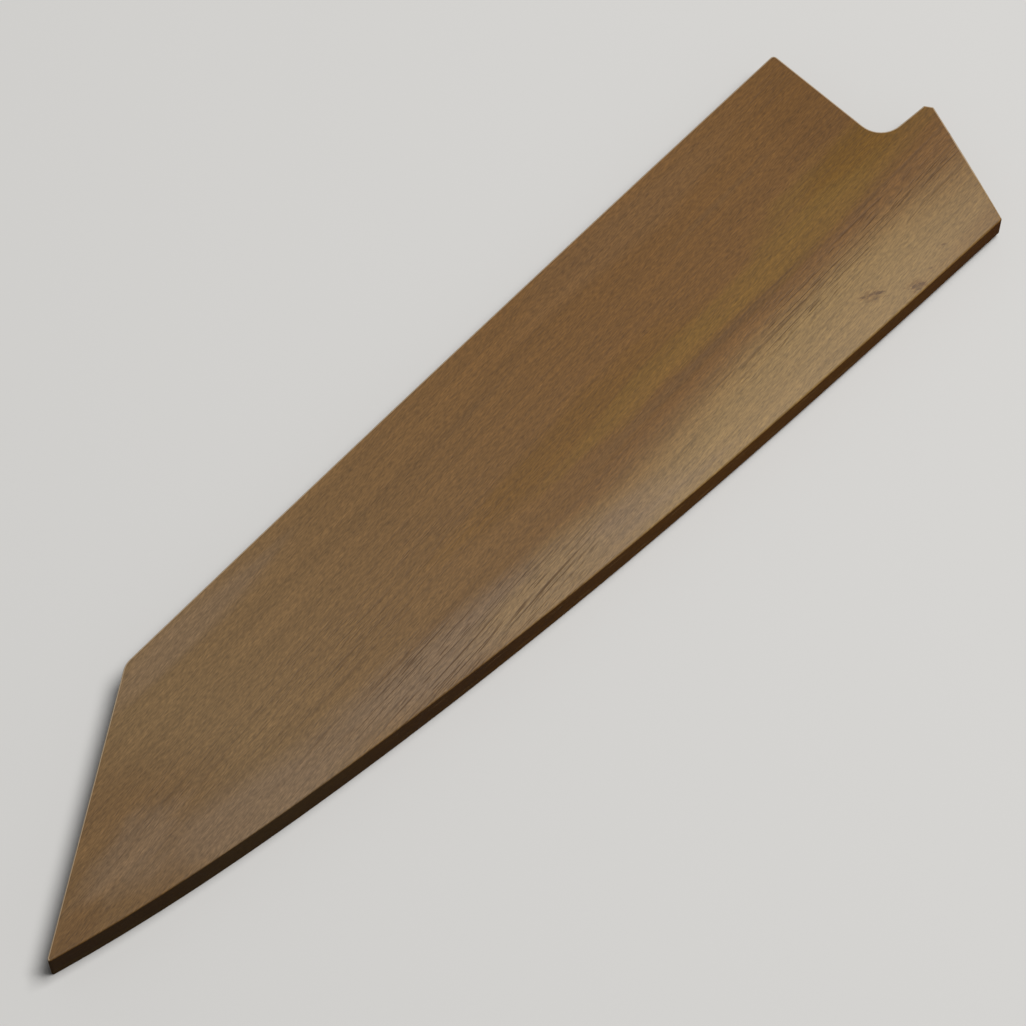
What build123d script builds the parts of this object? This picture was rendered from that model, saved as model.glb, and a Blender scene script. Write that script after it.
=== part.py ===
from build123d import *
import os

# Wooden guard for a broad kitchen blade with a slanted tip. Millimetres and degrees.
# It lies on its rear face and is seen from its front: +X runs along the spine from the mouth to the
# tip, +Y from the spine to the cutting edge, and +Z out of the front face. It is drawn from the
# mouth's corner at the spine, and moved at the end so that the origin is under its middle.

# Outline
spine_length = 192.5
spine_bow = 0.45
tip_cut_run = 55.5
tip_cut_drop = 34.55
heel_depth = 60.3
heel_overhang = 7.5
heel_lean = 15.8
mouth_lean = 3.6
neck_depth = 30.0
flank_lean = 4.4
belly = 7.0

# Belly of the cutting-edge side: shares of its chord from the heel, with shares of the belly
belly_shares = ((0.2, 0.515), (0.4, 0.885), (0.57, 1.0), (0.75, 0.875), (0.89, 0.53))

# Corners of the outline
notch_radius = 6.0
mouth_radius = 1.0
spine_corner_radius = 5.0
tip_radius = 0.5
heel_radius = 0.5
horn_chamfer = 1.6

# Layers
board_thickness = 3.3
slot_thickness = 4.4

# Crown of both faces, from a line that starts past the notch down to the cutting-edge side, and the
# eased outer edges. The guard is thinnest at its heel.
crown_clearance = 7.0
crown_slant = 2.0
heel_thickness = 7.7
arris_radius = 0.4

# How near to upright a wall's normal and an edge's line have to be, as shares of one
wall_share = 0.01
edge_share = 0.9

# How far a cutter runs past the wood
overrun = 20.0

# Core strips round the blade's slot, and the eased mouth
spine_wall = 4.0
tip_wall = 4.5
edge_wall = 4.5
mouth_ease = 0.6

# Magnets in blind pockets in the boards' inner faces
magnet_count = 3
magnet_diameter = 8.0
magnet_thickness = 2.0
magnet_start = 36.0
magnet_pitch = 62.0
magnet_depth = 26.0
magnet_recess = 0.2
pocket_clearance = 0.1

full_thickness = slot_thickness + board_thickness * 2
core_top = board_thickness + slot_thickness
middle = full_thickness / 2
full_length = spine_length + tip_cut_run + heel_overhang

mouth_corner = Vector(0, 0)
spine_corner = Vector(spine_length, 0)
tip_corner = Vector(spine_length + tip_cut_run, tip_cut_drop)
heel_corner = Vector(-heel_overhang, heel_depth)

mouth_line = Vector(0, 1).rotate(Axis.Z, mouth_lean)
flank_line = Vector(-1, 0).rotate(Axis.Z, -flank_lean)
heel_line = Vector(0, -1).rotate(Axis.Z, -heel_lean)
tip_line = (tip_corner - spine_corner).normalized()
chord = tip_corner - heel_corner
edge_outward = chord.normalized().rotate(Axis.Z, 90)

crown_start = Vector(0, neck_depth + crown_clearance)
crown_line = Vector(1, 0).rotate(Axis.Z, crown_slant)
crown_width = (heel_corner - crown_start).dot(crown_line.rotate(Axis.Z, 90))
crown_drop = (full_thickness - heel_thickness) / 2
crown_radius = (crown_width ** 2 + crown_drop ** 2) / (crown_drop * 2)


def crossing(start, line, other_start, other_line):
    """Where two straight lines of the outline meet."""
    gap = other_start - start
    spread = line.X * other_line.Y - line.Y * other_line.X
    return start + line * ((gap.X * other_line.Y - gap.Y * other_line.X) / spread)


notch_corner = mouth_corner + mouth_line * (neck_depth / mouth_line.Y)
horn_corner = crossing(notch_corner, flank_line, heel_corner, heel_line)


def edge_curve(inset=0):
    """Cutting-edge side from heel to tip, or a line inside it at an even inset."""
    start = heel_corner - edge_outward * inset
    bellied = [start + chord * along + edge_outward * (belly * out) for along, out in belly_shares]
    return Spline([start, *bellied, start + chord])


def outline():
    """The guard's outline with sharp corners."""
    bow_point = Vector(spine_length / 2, -spine_bow)
    return make_face([
        ThreePointArc(mouth_corner, bow_point, spine_corner),
        Line(spine_corner, tip_corner),
        edge_curve(),
        Line(heel_corner, horn_corner),
        Line(horn_corner, notch_corner),
        Line(notch_corner, mouth_corner),
    ])


def upright_at(solid, corner):
    """The upright edge that stands on a corner of the outline."""
    return solid.edges().filter_by(Axis.Z).sort_by_distance(corner)[0]


def sawn(thickness):
    """The outline sawn out at a thickness, with its notch rounded and its horn blunted."""
    solid = extrude(outline(), thickness)
    solid = chamfer(upright_at(solid, horn_corner), horn_chamfer)
    return fillet(upright_at(solid, notch_corner), notch_radius)


def blank():
    """The sawn outline at full thickness, with its other upright corners rounded."""
    solid = sawn(full_thickness)
    roundings = (
        (mouth_corner, mouth_radius),
        (spine_corner, spine_corner_radius),
        (tip_corner, tip_radius),
        (heel_corner, heel_radius),
    )
    for corner, radius in roundings:
        solid = fillet(upright_at(solid, corner), radius)
    return solid


def crown_waste():
    """What planing takes off the front face: all above a wide drum that touches it along a line."""
    start = crown_start + Vector(0, 0, middle) - crown_line * full_length
    reach = full_length * 2
    low_corner = (Align.MIN, Align.MIN, Align.MIN)
    waste = Plane(start, x_dir=crown_line) * Box(reach, full_length, full_thickness, align=low_corner)
    drum_centre = start + Vector(0, 0, middle - crown_radius)
    drum = Cylinder(crown_radius, reach, align=(Align.CENTER, Align.CENTER, Align.MIN))
    return waste - Plane(drum_centre, z_dir=crown_line) * drum


def arrises(solid):
    """Every edge where an upright wall meets a face."""
    walls = solid.faces().filter_by(lambda face: abs(face.normal_at().Z) < wall_share)
    found = ShapeList()
    for wall in walls:
        for edge in wall.edges():
            if abs(edge.tangent_at(0).Z) < edge_share and edge not in found:
                found.append(edge)
    return found


def shaped_form():
    """The whole guard from outside: the blank with both faces crowned and its arrises eased."""
    waste = crown_waste()
    crowned = blank() - waste - mirror(waste, about=Plane.XY.offset(middle))
    return fillet(arrises(crowned), arris_radius)


def layer(bottom, thickness):
    """A slab across the whole guard."""
    slab = Box(full_length * 2, full_length * 2, thickness, align=(Align.CENTER, Align.CENTER, Align.MIN))
    return Pos(0, 0, bottom) * slab


def left_of(point, line):
    """All that lies to the left of a straight line in the outline's plane."""
    side = Box(full_length * 2, full_length, full_thickness, align=(Align.CENTER, Align.MIN, Align.MIN))
    return Plane(Vector(point.X, point.Y, 0), x_dir=line) * side


def edge_zone():
    """All that lies outside the slot's curved line, where the edge strip is."""
    curve = edge_curve(edge_wall)
    heel_end = curve @ 0 - (curve % 0) * overrun
    tip_end = curve @ 1 + (curve % 1) * overrun
    return extrude(make_face([
        Line(heel_end, curve @ 0),
        curve,
        Line(curve @ 1, tip_end),
        Polyline(tip_end, Vector(tip_end.X, full_length), Vector(heel_end.X, full_length), heel_end),
    ]), full_thickness)


spine_zone = left_of(Vector(0, spine_wall), Vector(-1, 0))
tip_zone = left_of(spine_corner + tip_line.rotate(Axis.Z, 90) * tip_wall, tip_line * -1)


def core_strips(form):
    """The core round the slot: one strip on the spine, one on the tip cut, one on the cutting edge."""
    core = form & layer(board_thickness, slot_thickness)
    edge_side = edge_zone()
    inboard = core - edge_side
    return {
        "spine_strip": inboard & spine_zone,
        "tip_strip": (inboard - spine_zone) & tip_zone,
        "edge_strip": core & edge_side,
    }


def mouth_waste():
    """What easing takes off the front board's inner edge, where the slot opens at the mouth."""
    plate = sawn(board_thickness)
    eased = chamfer(plate.faces().sort_by(Axis.Z)[0].edges(), mouth_ease)
    return Pos(0, 0, core_top) * ((plate - eased) - spine_zone - edge_zone() - tip_zone)


def magnet_places():
    """The middle of each magnet, in plan."""
    return [(magnet_start + magnet_pitch * place, magnet_depth) for place in range(magnet_count)]


def disc(place, bottom, diameter, thickness):
    """A flat disc at a magnet's place."""
    base = (Align.CENTER, Align.CENTER, Align.MIN)
    return Pos(*place, bottom) * Cylinder(diameter / 2, thickness, align=base)


def front_board(form):
    """The front board, with its mouth eased and a blind pocket for each magnet."""
    board = (form & layer(core_top, board_thickness)) - mouth_waste()
    for place in magnet_places():
        board -= disc(place, core_top, magnet_diameter + pocket_clearance * 2, magnet_thickness + magnet_recess)
    return board


def turned_over(solid):
    """A front piece's twin on the rear, across the middle of the slot."""
    return mirror(solid, about=Plane.XY.offset(middle))


def build():
    """Every piece of the guard by name, still drawn from the mouth's corner."""
    form = shaped_form()
    front = front_board(form)
    pieces = {"front_board": front, "rear_board": turned_over(front), **core_strips(form)}
    for number, place in enumerate(magnet_places(), start=1):
        magnet = disc(place, core_top + magnet_recess, magnet_diameter, magnet_thickness)
        pieces[f"front_magnet_{number}"] = magnet
        pieces[f"rear_magnet_{number}"] = turned_over(magnet)
    return pieces


os.makedirs("parts", exist_ok=True)
guard = build()
limits = Compound(list(guard.values())).bounding_box()
to_origin = Pos(-limits.center().X, -limits.center().Y, 0)
for name, solid in guard.items():
    export_step(to_origin * solid, f"parts/{name}.step")
print(f"outline moved by {-limits.center().X:.3f}, {-limits.center().Y:.3f}")
print(f"overall {limits.size.X:.2f} x {limits.size.Y:.2f} x {limits.size.Z:.2f}")
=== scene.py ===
import math
from collections import namedtuple

import bpy
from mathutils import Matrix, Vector


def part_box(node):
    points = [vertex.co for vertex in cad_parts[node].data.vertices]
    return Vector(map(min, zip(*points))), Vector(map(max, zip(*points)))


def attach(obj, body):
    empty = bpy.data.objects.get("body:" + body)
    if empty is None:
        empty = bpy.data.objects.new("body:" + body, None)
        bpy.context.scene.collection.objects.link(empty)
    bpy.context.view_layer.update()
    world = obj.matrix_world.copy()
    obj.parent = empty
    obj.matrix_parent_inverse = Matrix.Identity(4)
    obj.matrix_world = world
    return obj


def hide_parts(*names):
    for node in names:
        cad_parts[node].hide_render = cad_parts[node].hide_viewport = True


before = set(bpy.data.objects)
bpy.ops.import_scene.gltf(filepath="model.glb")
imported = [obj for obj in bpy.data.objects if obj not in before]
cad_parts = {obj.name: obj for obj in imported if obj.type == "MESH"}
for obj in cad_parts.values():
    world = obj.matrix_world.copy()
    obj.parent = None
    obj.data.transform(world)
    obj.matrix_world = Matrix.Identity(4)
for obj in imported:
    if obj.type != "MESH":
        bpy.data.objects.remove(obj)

bl_info = {
    "name": "Wooden blade guard",
    "version": (1, 0, 0),
    "blender": (4, 5, 0),
    "location": "3D View > Sidebar > Blade guard",
    "description": "Finishes a layered wooden guard for a broad kitchen blade",
    "category": "Object",
}

# Sizes are metres and angles radians, except in the wood's figure, which is in millimetres.
MM = 0.001
PER_MM = 1 / MM
BODY = "root"
FRONT = "front_board"
REAR = "rear_board"
STRIPS = ("spine_strip", "tip_strip", "edge_strip")
MAGNETS = tuple(name for name in sorted(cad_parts) if "magnet" in name)

# A soft-edged area of the wood's figure: its middle and its half lengths along and across, in plan,
# how many degrees it turns from the spine, how ragged its border is, its colour and how strongly it
# shows. An area without a colour only says where something else is.
Patch = namedtuple("Patch", "middle reach turn ragged colour strength")

# A line of the wood's growth: how it leans from the spine's direction, how much more it leans with
# every millimetre towards the tip, and how many millimetres it wanders.
Run = namedtuple("Run", "lean curl wander")

# Noise that is drawn out along the wood: how often it changes in a millimetre along and across, how
# many finer layers it has and how strong they are.
Cloud = namedtuple("Cloud", "along across detail roughness", defaults=(0.5,))


rear_bottom, rear_top = (corner[2] * PER_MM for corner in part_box(REAR))
front_bottom, front_top = (corner[2] * PER_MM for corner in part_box(FRONT))

# The guard's and its core's thickness, in millimetres
THICKNESS = front_top - rear_bottom
CORE_THICKNESS = front_bottom - rear_top


class WoodSettings(bpy.types.PropertyGroup):
    """The boards' and the core's wood."""

    mouth_ground: bpy.props.FloatVectorProperty(
        name="Ground at the mouth", description="Colour of the plain wood at the mouth's end",
        subtype="COLOR", size=3, default=(0.172, 0.079, 0.017), min=0, max=1,
    )
    tip_ground: bpy.props.FloatVectorProperty(
        name="Ground at the tip", description="Colour of the plain wood at the tip's end",
        subtype="COLOR", size=3, default=(0.197, 0.119, 0.048), min=0, max=1,
    )
    pore: bpy.props.FloatVectorProperty(
        name="Pores", description="Colour at the bottom of the open pores", subtype="COLOR", size=3,
        default=(0.07, 0.034, 0.014), min=0, max=1,
    )
    # A painted highlight: the eased outer edges are made lighter where they would catch the light.
    edge_highlight: bpy.props.FloatVectorProperty(
        name="Painted edge highlight", description="Colour painted as a highlight along the eased outer edges",
        subtype="COLOR", size=3, default=(0.56, 0.43, 0.29), min=0, max=1,
    )
    # Painted shade: these two tones darken the walls, most on the cutting edge's side and more
    # towards the tip.
    mouth_wall_shade: bpy.props.FloatVectorProperty(
        name="Wall shade at the mouth",
        description="What the colour is multiplied by as painted shade on a wall at the mouth's end",
        subtype="COLOR", size=3, default=(0.76, 0.49, 0.16), min=0, max=1,
    )
    tip_wall_shade: bpy.props.FloatVectorProperty(
        name="Wall shade at the tip",
        description="What the colour is multiplied by as painted shade on a wall at the tip's end",
        subtype="COLOR", size=3, default=(0.42, 0.34, 0.13), min=0, max=1,
    )
    band_depth: bpy.props.FloatProperty(
        name="Growth bands", description="How far the growth bands darken and lighten the wood",
        subtype="FACTOR", default=0.07, min=0, max=1,
    )
    streak_depth: bpy.props.FloatProperty(
        name="Streaks", description="How far the fine streaks darken and lighten the wood",
        subtype="FACTOR", default=0.12, min=0, max=1,
    )
    pore_length: bpy.props.FloatProperty(
        name="Pore length", description="Usual length of an open pore, in millimetres",
        default=5.0, min=0.1,
    )
    pore_width: bpy.props.FloatProperty(
        name="Pore width", description="Usual width of an open pore, in millimetres",
        default=0.25, min=0.02,
    )
    pore_depth: bpy.props.FloatProperty(
        name="Pore depth", description="How deep the pores are", default=0.02 * MM, min=0,
        unit="LENGTH", precision=6,
    )
    roughness: bpy.props.FloatProperty(
        name="Roughness", description="Roughness of the sanded wood", subtype="FACTOR",
        default=0.4, min=0, max=1,
    )
    sheen_level: bpy.props.FloatProperty(
        name="Shine", description="How strongly the sanded wood shines", subtype="FACTOR",
        default=0.16, min=0, max=1,
    )


class MagnetSettings(bpy.types.PropertyGroup):
    """The magnets in the boards' pockets."""

    plate: bpy.props.FloatVectorProperty(
        name="Plate", description="Colour of the nickel plate", subtype="COLOR", size=3,
        default=(0.52, 0.5, 0.46), min=0, max=1,
    )
    edge_radius: bpy.props.FloatProperty(
        name="Edge radius", description="Rounding of a magnet's rims", default=0.25 * MM, min=0,
        unit="LENGTH", precision=5,
    )


class StageSettings(bpy.types.PropertyGroup):
    """The floor, the lamp, the even fill and the camera."""

    floor_colour: bpy.props.FloatVectorProperty(
        name="Floor", description="Colour of the floor as the camera sees it",
        subtype="COLOR", size=3, default=(0.72, 0.71, 0.69), min=0, max=1,
    )
    bounce_colour: bpy.props.FloatVectorProperty(
        name="Floor's bounce", description="Colour of the light that the floor sends up",
        subtype="COLOR", size=3, default=(0.06, 0.06, 0.06), min=0, max=1,
    )
    overhead_power: bpy.props.FloatProperty(
        name="Overhead lamp", description="Power of the wide lamp above", subtype="POWER",
        default=35.0, min=0,
    )
    sky_level: bpy.props.FloatProperty(
        name="Fill", description="Level of the even light from all round", default=0.1, min=0,
    )
    view_tilt: bpy.props.FloatProperty(
        name="View tilt", description="How far the view leans from straight down", subtype="ANGLE",
        default=math.radians(19.0),
    )
    view_bearing: bpy.props.FloatProperty(
        name="View bearing",
        description="Where the camera stands in plan, round from the tip's direction",
        subtype="ANGLE", default=math.radians(44.837),
    )
    view_distance: bpy.props.FloatProperty(
        name="View distance", description="From the camera to what it looks at", subtype="DISTANCE",
        default=1.2391, min=0.1,
    )
    lens: bpy.props.FloatProperty(
        name="Lens", description="Focal length on a 36 mm sensor, in millimetres",
        default=207.02, min=1,
    )


class Bench:
    """Adds nodes to one node tree and joins them."""

    def __init__(self, tree):
        self.tree = tree

    def feed(self, socket, value):
        """Joins a socket to an input, or sets the input's own value."""
        if isinstance(value, bpy.types.NodeSocket):
            self.tree.links.new(value, socket)
        else:
            socket.default_value = value

    def node(self, kind, settings=None, **inputs):
        """A node with its settings, and with its inputs fed by name."""
        made = self.tree.nodes.new(kind)
        for name, value in (settings or {}).items():
            setattr(made, name, value)
        for name, value in inputs.items():
            self.feed(made.inputs[name.replace("_", " ")], value)
        return made

    def group(self, tree, **inputs):
        """A node group placed in this tree."""
        return self.node("ShaderNodeGroup", {"node_tree": tree}, **inputs)

    def sum(self, operation, *values):
        """One step of arithmetic."""
        made = self.node("ShaderNodeMath", {"operation": operation})
        for socket, value in zip(made.inputs, values):
            self.feed(socket, value)
        return made.outputs[0]

    def vector(self, operation, *values):
        """One step of arithmetic on vectors."""
        made = self.node("ShaderNodeVectorMath", {"operation": operation})
        for socket, value in zip(made.inputs, values):
            self.feed(socket, value)
        return made.outputs["Value" if operation in ("LENGTH", "DOT_PRODUCT") else "Vector"]

    def dimmed(self, colour, level):
        """A colour made darker or lighter by a level."""
        made = self.node("ShaderNodeVectorMath", {"operation": "SCALE"}, Scale=level)
        self.feed(made.inputs[0], colour)
        return made.outputs["Vector"]

    def ramp(self, value, start, end, low=0.0, high=1.0):
        """Goes smoothly from low to high while the value goes from start to end."""
        made = self.node(
            "ShaderNodeMapRange", {"interpolation_type": "SMOOTHSTEP"},
            Value=value, From_Min=start, From_Max=end, To_Min=low, To_Max=high,
        )
        return made.outputs["Result"]

    def blend(self, share, first, second, how="MIX"):
        """Mixes two colours."""
        made = self.node("ShaderNodeMix", {"data_type": "RGBA", "blend_type": how})
        factor, first_socket, second_socket = (
            next(s for s in made.inputs if s.identifier == name)
            for name in ("Factor_Float", "A_Color", "B_Color")
        )
        self.feed(factor, share)
        self.feed(first_socket, first)
        self.feed(second_socket, second)
        return next(s for s in made.outputs if s.identifier == "Result_Color")

    def noise(self, position, scale, detail, roughness=0.5):
        """Soft noise round a half."""
        made = self.node(
            "ShaderNodeTexNoise", {"noise_dimensions": "3D"},
            Vector=position, Scale=scale, Detail=detail, Roughness=roughness,
        )
        return made.outputs["Fac"]

    def cloud(self, position, form):
        """Soft noise round a half, drawn out along the wood."""
        drawn_out = self.vector("MULTIPLY", position, (form.along, form.across, form.across))
        return self.noise(drawn_out, 1.0, form.detail, form.roughness)


def opaque(colour):
    """A colour with its alpha."""
    return (*colour, 1.0)


def new_group(name, inputs, outputs):
    """An empty node group with its sockets, its bench and its two end nodes."""
    tree = bpy.data.node_groups.new(name, "ShaderNodeTree")
    for in_out, sockets in (("INPUT", inputs), ("OUTPUT", outputs)):
        for socket_name, kind in sockets.items():
            tree.interface.new_socket(socket_name, in_out=in_out, socket_type=f"NodeSocket{kind}")
    bench = Bench(tree)
    return tree, bench, bench.node("NodeGroupInput"), bench.node("NodeGroupOutput")


# How the growth bands, the growth lines and the fibres run
BAND_RUN = Run(0.022, 0.0, 4.0)
LINE_RUN = Run(0.06, 0.0002, 2.0)
FIBRE_RUN = Run(0.108, 0.0001, 1.0)

WANDER_CLOUD = Cloud(0.015, 0.06, 1.0)
BAND_CLOUD = Cloud(0.006, 0.3, 3.0, 0.6)
STREAK_CLOUD = Cloud(0.03, 1.3, 2.0, 0.6)
NAP_CLOUD = Cloud(0.75, 4.8, 1.5, 0.6)

# Growth lines: how many there are in a millimetre, and how many line pitches their drift spans
LINES_PER_MM = 0.85
LINE_DRIFT = 2.4
LINE_DRIFT_CLOUD = Cloud(0.015, 0.6, 1.0)

# From a growth line's edge to its full depth, in shares of the pitch, and where it is broken off
LINE_EDGE = (0.13, 0.03)
LINE_BREAK_CLOUD = Cloud(0.05, 1.0, 1.0)
LINE_BREAKS = (0.4, 0.54)

# Open pores: how often they come in a pore's own length and width, and where the noise opens one
PORE_RATE = 0.8
PORE_OPENS = (0.54, 0.74)


def fibre_group():
    """The wood's fibres: growth bands, long fine streaks, a fine nap, and open pores and lines.

    The fibres lean from the spine, more and more towards the tip, and the growth bands only a
    little. All lengths are millimetres.
    """
    tree, bench, given, result = new_group(
        "wood_fibres",
        {"Position": "Vector", "Pore Length": "Float", "Pore Width": "Float"},
        {"Bands": "Float", "Streaks": "Float", "Nap": "Float", "Pores": "Float"},
    )
    position = given.outputs["Position"]
    place = bench.node("ShaderNodeSeparateXYZ", Vector=position)
    along, across, deep = (place.outputs[axis] for axis in "XYZ")

    def level_in(run):
        """How far a place lies across lines that run this way."""
        rise = bench.sum("MULTIPLY", along, bench.sum("MULTIPLY_ADD", along, run.curl, run.lean))
        wave = bench.cloud(position, WANDER_CLOUD)
        return bench.sum("SUBTRACT", across, bench.sum("MULTIPLY_ADD", wave, run.wander, rise))

    def straightened(level):
        """The position as if the lines ran straight."""
        return bench.node("ShaderNodeCombineXYZ", X=along, Y=level, Z=deep).outputs["Vector"]

    growth = straightened(level_in(BAND_RUN))
    fibre = straightened(level_in(FIBRE_RUN))
    line_level = level_in(LINE_RUN)
    ring = straightened(line_level)

    narrow = bench.sum("DIVIDE", 1.0, given.outputs["Pore Width"])
    pore_shape = bench.node(
        "ShaderNodeCombineXYZ", X=bench.sum("DIVIDE", 1.0, given.outputs["Pore Length"]),
        Y=narrow, Z=narrow,
    ).outputs["Vector"]
    grains = bench.noise(bench.vector("MULTIPLY", fibre, pore_shape), PORE_RATE, 1.0)
    pores = bench.ramp(grains, *PORE_OPENS)

    drift = bench.sum("MULTIPLY", bench.cloud(ring, LINE_DRIFT_CLOUD), LINE_DRIFT)
    count = bench.sum("FRACT", bench.sum("MULTIPLY_ADD", line_level, LINES_PER_MM, drift))
    off_line = bench.sum("ABSOLUTE", bench.sum("SUBTRACT", count, 0.5))
    unbroken = bench.ramp(bench.cloud(ring, LINE_BREAK_CLOUD), *LINE_BREAKS)
    lines = bench.sum("MULTIPLY", bench.ramp(off_line, *LINE_EDGE), unbroken)

    bench.feed(result.inputs["Bands"], bench.cloud(growth, BAND_CLOUD))
    bench.feed(result.inputs["Streaks"], bench.cloud(growth, STREAK_CLOUD))
    bench.feed(result.inputs["Nap"], bench.cloud(fibre, NAP_CLOUD))
    bench.feed(result.inputs["Pores"], bench.sum("MAXIMUM", pores, lines))
    return tree


# A patch's border: how often it turns in a half length, its finer layers, and how far out and in,
# in shares of its half lengths, the patch fades in
BORDER_RATE = 2.5
BORDER_DETAIL = 3.0
PATCH_FADE = (1.0, 0.35)


def patch_group():
    """A soft-edged oval area, with a border that the noise makes ragged. Millimetres."""
    tree, bench, given, result = new_group(
        "soft_patch",
        {"Position": "Vector", "Middle": "Vector", "Reach": "Vector", "Turn": "Float",
         "Ragged": "Float"},
        {"Mask": "Float"},
    )
    turned = bench.node(
        "ShaderNodeVectorRotate", {"rotation_type": "Z_AXIS"},
        Vector=given.outputs["Position"], Center=given.outputs["Middle"],
        Angle=bench.sum("MULTIPLY", given.outputs["Turn"], -1.0),
    ).outputs["Vector"]
    offset = bench.vector("SUBTRACT", turned, given.outputs["Middle"])
    shares = bench.vector("DIVIDE", offset, given.outputs["Reach"])
    in_plan = bench.vector("MULTIPLY", shares, (1, 1, 0))
    turns = bench.noise(
        bench.vector("DIVIDE", turned, given.outputs["Reach"]), BORDER_RATE, BORDER_DETAIL
    )
    border = bench.sum("MULTIPLY", bench.sum("SUBTRACT", turns, 0.5), given.outputs["Ragged"])
    distance = bench.sum("ADD", bench.vector("LENGTH", in_plan), border)
    bench.feed(result.inputs["Mask"], bench.ramp(distance, *PATCH_FADE))
    return tree


# How far from the guard's middle its outer edges start, and how far the glue shows beside a joint,
# in millimetres
OUTER_ZONE = (3.0, 3.3)
JOINT_ZONE = (0.06, 0.02)

# A surface's level is one on a face and zero on an upright wall. A rounding starts where the face
# ends and is over where the wall starts, and a wall's own look fades in below the rounding.
FACE_ENDS = (0.99, 0.95)
WALL_STARTS = (0.05, 0.3)
WALL_FADE = (0.75, 0.15)

# How far an edge has to face the cutting edge's side to lose its painted highlight, and a wall to
# take the full painted shade, and the share of that painted shade on walls that face elsewhere
HIGHLIGHT_LOST_FACING = (0.6, 0.4)
FULL_SHADE_FACING = (0.1, 0.4)
SHADE_SHARE_ELSEWHERE = 0.35


def arris_group():
    """Tells the rounded outer edges, the upright walls and the joints in them from the faces.

    The rounded outer edges get a painted highlight, except along the cutting edge's side and
    inside the mouth, and the walls get painted shade, fully on the cutting edge's side and in part
    elsewhere. The position is in millimetres.
    """
    tree, bench, given, result = new_group(
        "eased_arris", {"Normal": "Vector", "Position": "Vector"},
        {"Edge highlight": "Float", "Wall": "Float", "Wall shade": "Float", "Joint": "Float"},
    )
    normal = bench.node("ShaderNodeSeparateXYZ", Vector=given.outputs["Normal"])
    height = bench.node("ShaderNodeSeparateXYZ", Vector=given.outputs["Position"]).outputs["Z"]
    level = bench.sum("ABSOLUTE", normal.outputs["Z"])
    steepness = bench.sum("SUBTRACT", 1.0, bench.sum("MULTIPLY", level, level))
    outwards = bench.sum("SQRT", bench.sum("MAXIMUM", steepness, 0.0))
    facing = bench.sum("DIVIDE", normal.outputs["Y"], outwards)
    rounded = bench.sum(
        "MULTIPLY", bench.ramp(level, *FACE_ENDS), bench.ramp(level, *WALL_STARTS)
    )
    off_middle = bench.sum("ABSOLUTE", bench.sum("SUBTRACT", height, THICKNESS / 2))
    outer = bench.sum(
        "MULTIPLY", bench.ramp(facing, *HIGHLIGHT_LOST_FACING), bench.ramp(off_middle, *OUTER_ZONE)
    )
    wall = bench.ramp(level, *WALL_FADE)
    shade_share = bench.ramp(normal.outputs["Y"], *FULL_SHADE_FACING, SHADE_SHARE_ELSEWHERE, 1.0)
    off_joint = bench.sum("ABSOLUTE", bench.sum("SUBTRACT", off_middle, CORE_THICKNESS / 2))
    at_joint = bench.ramp(off_joint, *JOINT_ZONE)
    # Painted highlight on the eased outer edges
    bench.feed(result.inputs["Edge highlight"], bench.sum("MULTIPLY", rounded, outer))
    bench.feed(result.inputs["Wall"], wall)
    # Painted shade on the walls
    bench.feed(result.inputs["Wall shade"], bench.sum("MULTIPLY", wall, shade_share))
    bench.feed(result.inputs["Joint"], bench.sum("MULTIPLY", wall, at_joint))
    return tree


# Colours of the figure
OLIVE = (0.190, 0.099, 0.013)
AMBER = (0.158, 0.072, 0.004)
# Partly the wood's own lighter, yellower tone along the cutting edge, and partly painted sheen
# where the crown catches the lamp; the pale colour is painted sheen too where it lies over the
# crown.
SAPWOOD_AND_SHEEN = (0.272, 0.165, 0.056)
PALE = (0.214, 0.139, 0.080)
DUSK = (0.150, 0.076, 0.023)
REDDISH = (0.142, 0.062, 0.010)
FLECK = (0.095, 0.042, 0.012)

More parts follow.
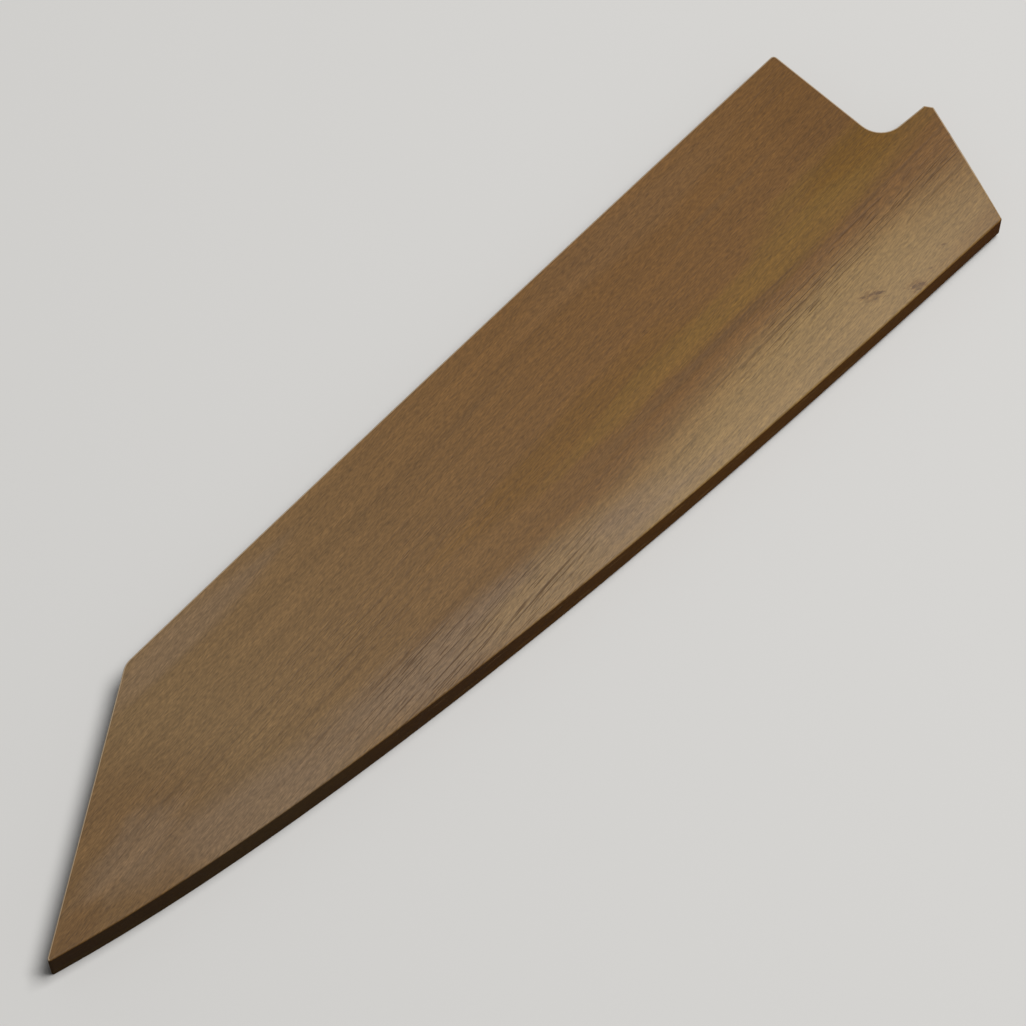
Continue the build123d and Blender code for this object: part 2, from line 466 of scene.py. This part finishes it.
# Figure of the front board, from the spine to the cutting edge
FRONT_FIGURE = (
    Patch((64, -26), (38, 5), 0.0, 0.6, PALE, 0.5),
    Patch((-66, -25), (44, 7), 0.0, 0.6, PALE, 0.12),
    Patch((-6, -18), (30, 1.4), 1.0, 0.9, DUSK, 0.35),
    Patch((-84, -14.6), (20, 0.9), 1.0, 0.9, DUSK, 0.45),
    Patch((-118, -13), (24, 23), 0.0, 0.2, REDDISH, 0.55),
    Patch((-104, -2), (26, 7), 2.0, 1.2, OLIVE, 0.55),
    Patch((-113, -1.5), (22, 7.5), 2.0, 0.5, AMBER, 0.85),
    Patch((-24, -0.5), (46, 6), 1.0, 0.8, AMBER, 0.45),
    Patch((-92, 3.6), (48, 5.5), 1.0, 0.9, OLIVE, 0.65),
    Patch((-45, 3.5), (36, 4.0), 1.0, 1.1, OLIVE, 0.55),
    Patch((114, 0), (46, 34), 0.0, 0.2, DUSK, 0.7),
    Patch((103, 0), (20, 7), 7.0, 0.8, PALE, 0.5),
    # Along the cutting edge these patches lighten and shape the band over the crown: partly lighter
    # wood, partly painted sheen on top of the lamp's own.
    Patch((-70, 24), (96, 15.5), 1.5, 0.2, SAPWOOD_AND_SHEEN, 1.0),
    Patch((16, 17), (72, 8), -7.0, 0.5, PALE, 0.7),
    Patch((80, 11), (34, 9), -12.0, 0.4, PALE, 0.6),
    Patch((4, 20.5), (26, 6.5), -4.0, 0.4, SAPWOOD_AND_SHEEN, 0.5),
    Patch((-8, 15.5), (17, 4), -4.0, 0.4, SAPWOOD_AND_SHEEN, 0.3),
    Patch((-38, 16.5), (17, 6), 0.0, 0.4, DUSK, 0.13),
    Patch((-72, 7.0), (28, 0.3), 0.6, 0.4, FLECK, 0.5),
    Patch((-45, 7.9), (58, 1.4), 1.0, 0.7, DUSK, 0.52),
    Patch((28, 9.7), (24, 1.1), 1.6, 0.8, DUSK, 0.5),
    Patch((-91.2, 23.0), (3.6, 1.5), -24.0, 2.4, REDDISH, 0.4),
    Patch((-99.6, 28.0), (3.0, 1.6), -20.0, 2.4, REDDISH, 0.5),
    Patch((-92.6, 23.5), (1.6, 0.42), -30.0, 2.6, FLECK, 0.7),
    Patch((-91.0, 22.7), (1.4, 0.4), -12.0, 2.6, FLECK, 0.65),
    Patch((-89.4, 22.0), (0.9, 0.36), -35.0, 2.2, FLECK, 0.7),
    Patch((-91.2, 24.0), (0.8, 0.25), -10.0, 1.4, FLECK, 0.5),
    Patch((-100.6, 28.4), (1.2, 0.5), -28.0, 2.4, FLECK, 0.8),
    Patch((-98.9, 27.8), (1.2, 0.4), -8.0, 2.4, FLECK, 0.7),
    Patch((-99.4, 28.9), (0.9, 0.28), -20.0, 1.4, FLECK, 0.7),
    Patch((-110.3, 25.6), (0.9, 0.28), -25.0, 1.4, FLECK, 0.6),
    Patch((-104.6, 27.4), (0.7, 0.25), -15.0, 1.4, FLECK, 0.5),
    Patch((124, 4.5), (12, 5), 15.0, 0.5, DUSK, 0.7),
)
REAR_FIGURE = (
    Patch((-60, -8.0), (70, 6.0), -1.0, 0.9, OLIVE, 0.8),
    Patch((20, -9), (60, 1.6), 1.0, 0.8, DUSK, 0.5),
    Patch((-50, 24), (130, 15), 1.5, 0.2, SAPWOOD_AND_SHEEN, 0.9),
)

# Where the open pores crowd, on top of the few that lie all over the wood
FRONT_CROWDS = (
    Patch((-92, 12.8), (56, 7.5), 1.5, 0.7, None, 0.68),
    Patch((24, 16.5), (58, 10.5), -6.0, 0.7, None, 0.72),
    Patch((30, -2), (60, 12), 4.0, 0.8, None, 0.4),
    Patch((90, -2), (36, 14), 5.0, 0.8, None, 0.32),
    Patch((-116, -26), (22, 7), 3.0, 0.8, None, 0.3),
)
REAR_CROWDS = (
    Patch((-20, 6), (70, 4), 1.0, 0.8, None, 0.35),
)

# Where the ground's colour changes, from the mouth's end to the tip's, in millimetres
GROUND_CHANGE = (-60, 110)

# How far the nap darkens and lightens the wood, and how strongly each of the others shows
NAP_DEPTH = 0.34
PORES_EVERYWHERE = 0.17
# How strongly the painted highlight on the eased outer edges shows
EDGE_HIGHLIGHT_SHARE = 0.8
GLUE_SHARE = 0.4

# A sawn wall's roughness, how far a pore's goes towards it, and how the nap's relief compares with
# the depth of a pore
SAWN_ROUGHNESS = 0.95
PORE_DULLNESS = 0.5
NAP_RELIEF = 0.5

# Noise seldom strays further from a half than one part in this many
NOISE_REACH = 4

# Where in the wood each board is sawn from: along, across and deep, in millimetres. The core has
# the front board's place, so that the growth bands run on over the joints.
FRONT_START = (0, 0, 0)
REAR_START = (310, 90, 40)

groups = {}


def shared_group(name, make):
    """A node group that is made once and shared by every material."""
    if name not in groups:
        groups[name] = make()
    return groups[name]


def principled(material):
    """The material's shader, ready to be fed, and the bench for its tree."""
    material.use_nodes = True
    bench = Bench(material.node_tree)
    shader = next(n for n in material.node_tree.nodes if n.type == "BSDF_PRINCIPLED")
    return shader, bench


def masked(bench, position, patch):
    """How strongly a patch shows at a place."""
    area = bench.group(
        shared_group("soft_patch", patch_group), Position=position, Middle=(*patch.middle, 0),
        Reach=(*patch.reach, 1), Turn=math.radians(patch.turn), Ragged=patch.ragged,
    )
    return bench.sum("MULTIPLY", area.outputs["Mask"], patch.strength)


def around_one(bench, value, depth):
    """Noise round a half, turned into a level that strays from one by a depth."""
    return bench.sum("MULTIPLY_ADD", bench.sum("SUBTRACT", value, 0.5), depth * NOISE_REACH, 1.0)


def in_millimetres(bench, where):
    """The place on the object that the texture coordinates give, in millimetres."""
    return bench.vector("MULTIPLY", where.outputs["Object"], (PER_MM, PER_MM, PER_MM))


def figured(bench, position, towards_tip, figure, fibres, settings):
    """The ground with its figure, its growth bands, its streaks and its nap."""
    colour = bench.blend(towards_tip, opaque(settings.mouth_ground), opaque(settings.tip_ground))
    for patch in figure:
        colour = bench.blend(masked(bench, position, patch), colour, opaque(patch.colour))
    level = bench.sum(
        "MULTIPLY",
        around_one(bench, fibres.outputs["Bands"], settings.band_depth),
        around_one(bench, fibres.outputs["Streaks"], settings.streak_depth),
    )
    level = bench.sum("MULTIPLY", level, around_one(bench, fibres.outputs["Nap"], NAP_DEPTH))
    return bench.dimmed(colour, level)


def crowded(bench, position, fibres, crowds):
    """How strongly the open pores and lines show."""
    crowding = PORES_EVERYWHERE
    for patch in crowds:
        crowding = bench.sum("MAXIMUM", crowding, masked(bench, position, patch))
    return bench.sum("MULTIPLY", fibres.outputs["Pores"], crowding)


def wood(name, start, figure, crowds):
    """Sanded wood without varnish, with its own figure and its own crowds of open pores."""
    settings = bpy.context.scene.guard_wood
    material = bpy.data.materials.new(name)
    shader, bench = principled(material)
    where = bench.node("ShaderNodeTexCoord")
    position = in_millimetres(bench, where)
    along = bench.node("ShaderNodeSeparateXYZ", Vector=position).outputs["X"]
    towards_tip = bench.ramp(along, *GROUND_CHANGE)
    fibres = bench.group(
        shared_group("wood_fibres", fibre_group), Position=bench.vector("ADD", position, start),
        Pore_Length=settings.pore_length, Pore_Width=settings.pore_width,
    )
    # Masks for the walls and the joints, for the painted highlight on the eased outer edges and for
    # the painted shade on the walls
    edge_masks = bench.group(
        shared_group("eased_arris", arris_group), Normal=where.outputs["Normal"], Position=position
    )
    pores = crowded(bench, position, fibres, crowds)
    glue = bench.sum("MULTIPLY", edge_masks.outputs["Joint"], GLUE_SHARE)
    # Painted highlight along the eased outer edges
    edge_highlight = bench.sum("MULTIPLY", edge_masks.outputs["Edge highlight"], EDGE_HIGHLIGHT_SHARE)
    # Painted shade on the walls, darker towards the tip
    wall_shade = bench.blend(
        towards_tip, opaque(settings.mouth_wall_shade), opaque(settings.tip_wall_shade)
    )

    colour = figured(bench, position, towards_tip, figure, fibres, settings)
    colour = bench.blend(pores, colour, opaque(settings.pore))
    # Painted shade multiplied into the walls
    colour = bench.blend(edge_masks.outputs["Wall shade"], colour, wall_shade, "MULTIPLY")
    colour = bench.blend(glue, colour, opaque(settings.pore))
    # Painted highlight on the eased outer edges
    colour = bench.blend(edge_highlight, colour, opaque(settings.edge_highlight))
    bench.feed(shader.inputs["Base Color"], colour)

    dull = bench.sum(
        "MAXIMUM", edge_masks.outputs["Wall"], bench.sum("MULTIPLY", pores, PORE_DULLNESS)
    )
    roughness = bench.ramp(dull, 0.0, 1.0, settings.roughness, SAWN_ROUGHNESS)
    bench.feed(shader.inputs["Roughness"], roughness)
    shader.inputs["Specular IOR Level"].default_value = settings.sheen_level

    nap = bench.sum("MULTIPLY", fibres.outputs["Nap"], NAP_RELIEF)
    relief = bench.sum("SUBTRACT", nap, pores)
    bump = bench.node("ShaderNodeBump", Strength=1.0, Distance=settings.pore_depth, Height=relief)
    bench.feed(shader.inputs["Normal"], bump.outputs["Normal"])
    return material


# The nickel plate's marks: how often they come in a millimetre, their finer layers, where a mark
# fades in, its colour, the plate's roughness outside and inside one, and its relief
MARK_RATE = 0.9
MARK_DETAIL = 4.0
MARK_ROUGHNESS = 0.6
MARK_TINT = (0.3, 0.75)
MARK_DULLING = (0.3, 0.7)
MARK_COLOUR = (0.4, 0.38, 0.34)
PLATE_ROUGHNESS = (0.24, 0.4)
MARK_RELIEF = 0.01 * MM
MARK_STRENGTH = 0.6


def nickel():
    """Satin nickel plate with faint handling marks."""
    settings = bpy.context.scene.guard_magnets
    material = bpy.data.materials.new("nickel_plate")
    shader, bench = principled(material)
    position = in_millimetres(bench, bench.node("ShaderNodeTexCoord"))
    marks = bench.noise(position, MARK_RATE, MARK_DETAIL, MARK_ROUGHNESS)
    tint = bench.ramp(marks, *MARK_TINT)
    dulled = bench.blend(tint, opaque(settings.plate), opaque(MARK_COLOUR))
    bench.feed(shader.inputs["Base Color"], dulled)
    roughness = bench.ramp(marks, *MARK_DULLING, *PLATE_ROUGHNESS)
    bench.feed(shader.inputs["Roughness"], roughness)
    shader.inputs["Metallic"].default_value = 1.0
    bump = bench.node(
        "ShaderNodeBump", Strength=MARK_STRENGTH, Distance=MARK_RELIEF, Height=marks
    )
    bench.feed(shader.inputs["Normal"], bump.outputs["Normal"])
    return material


def finish_node(name, material):
    """Gives a fixed node its material."""
    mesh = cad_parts[name].data
    mesh.materials.clear()
    mesh.materials.append(material)


DISC_SIDES = 96
RIM_STEPS = 4
SMOOTH_BELOW = math.radians(40)


def rounded_disc(name, node, settings):
    """A disc as large as its node, with rounded rims."""
    low, high = limits(node)
    size = high - low
    deselect()
    bpy.ops.mesh.primitive_cylinder_add(
        vertices=DISC_SIDES, radius=size.x / 2, depth=size.z, location=(low + high) / 2
    )
    disc = bpy.context.active_object
    disc.name = name
    bpy.ops.object.transform_apply(location=True, rotation=False, scale=False)
    rounding = disc.modifiers.new("rims", "BEVEL")
    rounding.width = settings.edge_radius
    rounding.segments = RIM_STEPS
    rounding.limit_method = "ANGLE"
    bpy.ops.object.modifier_apply(modifier=rounding.name)
    bpy.ops.object.shade_smooth_by_angle(angle=SMOOTH_BELOW)
    return disc


def limits(node):
    """The lowest and highest corner of an object's mesh."""
    corners_met = [node.matrix_world @ vertex.co for vertex in node.data.vertices]
    return (
        Vector(min(place[axis] for place in corners_met) for axis in range(3)),
        Vector(max(place[axis] for place in corners_met) for axis in range(3)),
    )


def deselect():
    """Leaves nothing selected and no object active."""
    for other in bpy.context.selected_objects:
        other.select_set(False)
    bpy.context.view_layer.objects.active = None


class DressBoards(bpy.types.Operator):
    """Gives the front and rear boards their wood"""

    bl_idname = "guard.dress_boards"
    bl_label = "Dress boards"

    def execute(self, context):
        finish_node(FRONT, wood("front_wood", FRONT_START, FRONT_FIGURE, FRONT_CROWDS))
        finish_node(REAR, wood("rear_wood", REAR_START, REAR_FIGURE, REAR_CROWDS))
        return {"FINISHED"}


class DressCore(bpy.types.Operator):
    """Gives the core strips their wood"""

    bl_idname = "guard.dress_core"
    bl_label = "Dress core"

    def execute(self, context):
        material = wood("core_wood", FRONT_START, FRONT_FIGURE, FRONT_CROWDS)
        for name in STRIPS:
            finish_node(name, material)
        return {"FINISHED"}


class MakeMagnets(bpy.types.Operator):
    """Models the magnets with rounded rims, each in its node's place"""

    bl_idname = "guard.make_magnets"
    bl_label = "Make magnets"

    def execute(self, context):
        settings = context.scene.guard_magnets
        material = nickel()
        for name in MAGNETS:
            magnet = rounded_disc(f"plated_{name}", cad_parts[name], settings)
            magnet.data.materials.append(material)
            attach(magnet, BODY)
            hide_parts(name)
        return {"FINISHED"}


class MakeStage(bpy.types.Operator):
    """Sets the floor, the lamp, the even fill and the camera"""

    bl_idname = "guard.make_stage"
    bl_label = "Make stage"

    def execute(self, context):
        settings = context.scene.guard_stage
        lay_floor(settings)
        light_scene(settings)
        place_camera(settings)
        return {"FINISHED"}


FLOOR_SIZE = 12.0
FLOOR_GAP = 0.03 * MM
FLOOR_ROUGHNESS = 0.9
FLOOR_SHINE = 0.1
LAMP_SIZE = 0.8
LAMP_PLACE = Vector((-0.5, 0.26, 1.92))
LOOK_AT = Vector((-5.89, 1.0, 0)) * MM


def lay_floor(settings):
    """A wide plain floor, pale to the camera and in reflections, which sends little light up."""
    deselect()
    bpy.ops.mesh.primitive_plane_add(size=FLOOR_SIZE, location=(0, 0, -FLOOR_GAP))
    floor = bpy.context.active_object
    floor.name = "floor"
    material = bpy.data.materials.new("floor_paper")
    shader, bench = principled(material)
    path = bench.node("ShaderNodeLightPath")
    seen = bench.sum("ADD", path.outputs["Is Camera Ray"], path.outputs["Is Glossy Ray"])
    seen = bench.sum("MINIMUM", bench.sum("ADD", seen, path.outputs["Is Transmission Ray"]), 1.0)
    colour = bench.blend(seen, opaque(settings.bounce_colour), opaque(settings.floor_colour))
    bench.feed(shader.inputs["Base Color"], colour)
    shader.inputs["Roughness"].default_value = FLOOR_ROUGHNESS
    shader.inputs["Specular IOR Level"].default_value = FLOOR_SHINE
    floor.data.materials.append(material)


def aimed(name, data, place, line_of_sight):
    """An object with this data at a place, which looks along a line."""
    holder = bpy.data.objects.new(name, data)
    bpy.context.scene.collection.objects.link(holder)
    holder.location = place
    holder.rotation_mode = "QUATERNION"
    holder.rotation_quaternion = line_of_sight.to_track_quat("-Z", "Y")
    return holder


def light_scene(settings):
    """One wide soft lamp overhead, aimed at the guard's middle, and an even fill all round."""
    light = bpy.data.lights.new("overhead_lamp", "AREA")
    light.shape = "SQUARE"
    light.size = LAMP_SIZE
    light.energy = settings.overhead_power
    aimed("overhead_lamp", light, LAMP_PLACE, -LAMP_PLACE).visible_camera = False
    world = bpy.data.worlds.new("studio")
    world.use_nodes = True
    background = world.node_tree.nodes["Background"]
    background.inputs["Color"].default_value = (1, 1, 1, 1)
    background.inputs["Strength"].default_value = settings.sky_level
    bpy.context.scene.world = world


def place_camera(settings):
    """A long lens that looks down on the guard."""
    bearing, tilt = settings.view_bearing, settings.view_tilt
    back = Vector((
        math.cos(bearing) * math.sin(tilt), math.sin(bearing) * math.sin(tilt), math.cos(tilt)
    ))
    camera = bpy.data.cameras.new("camera")
    camera.lens = settings.lens
    place = LOOK_AT + back * settings.view_distance
    bpy.context.scene.camera = aimed("camera", camera, place, -back)


class GuardPanel(bpy.types.Panel):
    """Lists the guard's settings and the steps that build it"""

    bl_idname = "VIEW3D_PT_blade_guard"
    bl_label = "Blade guard"
    bl_space_type = "VIEW_3D"
    bl_region_type = "UI"
    bl_category = "Blade guard"

    def draw(self, context):
        for title, owner, steps in STEPS:
            box = self.layout.box()
            box.label(text=title)
            settings = getattr(context.scene, owner)
            for name in settings.bl_rna.properties.keys():
                if name not in ("rna_type", "name"):
                    box.prop(settings, name)
            for step in steps:
                box.operator(step.bl_idname)


STEPS = (
    ("Wood", "guard_wood", (DressBoards, DressCore)),
    ("Magnets", "guard_magnets", (MakeMagnets,)),
    ("Stage", "guard_stage", (MakeStage,)),
)
SETTINGS = {
    "guard_wood": WoodSettings,
    "guard_magnets": MagnetSettings,
    "guard_stage": StageSettings,
}
OPERATORS = tuple(step for title, owner, steps in STEPS for step in steps)


def register():
    """Adds the classes, and the settings to every scene."""
    for made in (*SETTINGS.values(), *OPERATORS, GuardPanel):
        bpy.utils.register_class(made)
    for name, settings in SETTINGS.items():
        setattr(bpy.types.Scene, name, bpy.props.PointerProperty(type=settings))


def unregister():
    """Takes the settings and the classes away again."""
    for name in SETTINGS:
        delattr(bpy.types.Scene, name)
    for made in reversed((*SETTINGS.values(), *OPERATORS, GuardPanel)):
        bpy.utils.unregister_class(made)


def main():
    """Builds the whole scene."""
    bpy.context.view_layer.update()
    register()
    bpy.context.scene.view_settings.view_transform = "Standard"
    bpy.ops.guard.make_stage()
    bpy.ops.guard.dress_boards()
    bpy.ops.guard.dress_core()
    bpy.ops.guard.make_magnets()


if __name__ == "__main__":
    main()
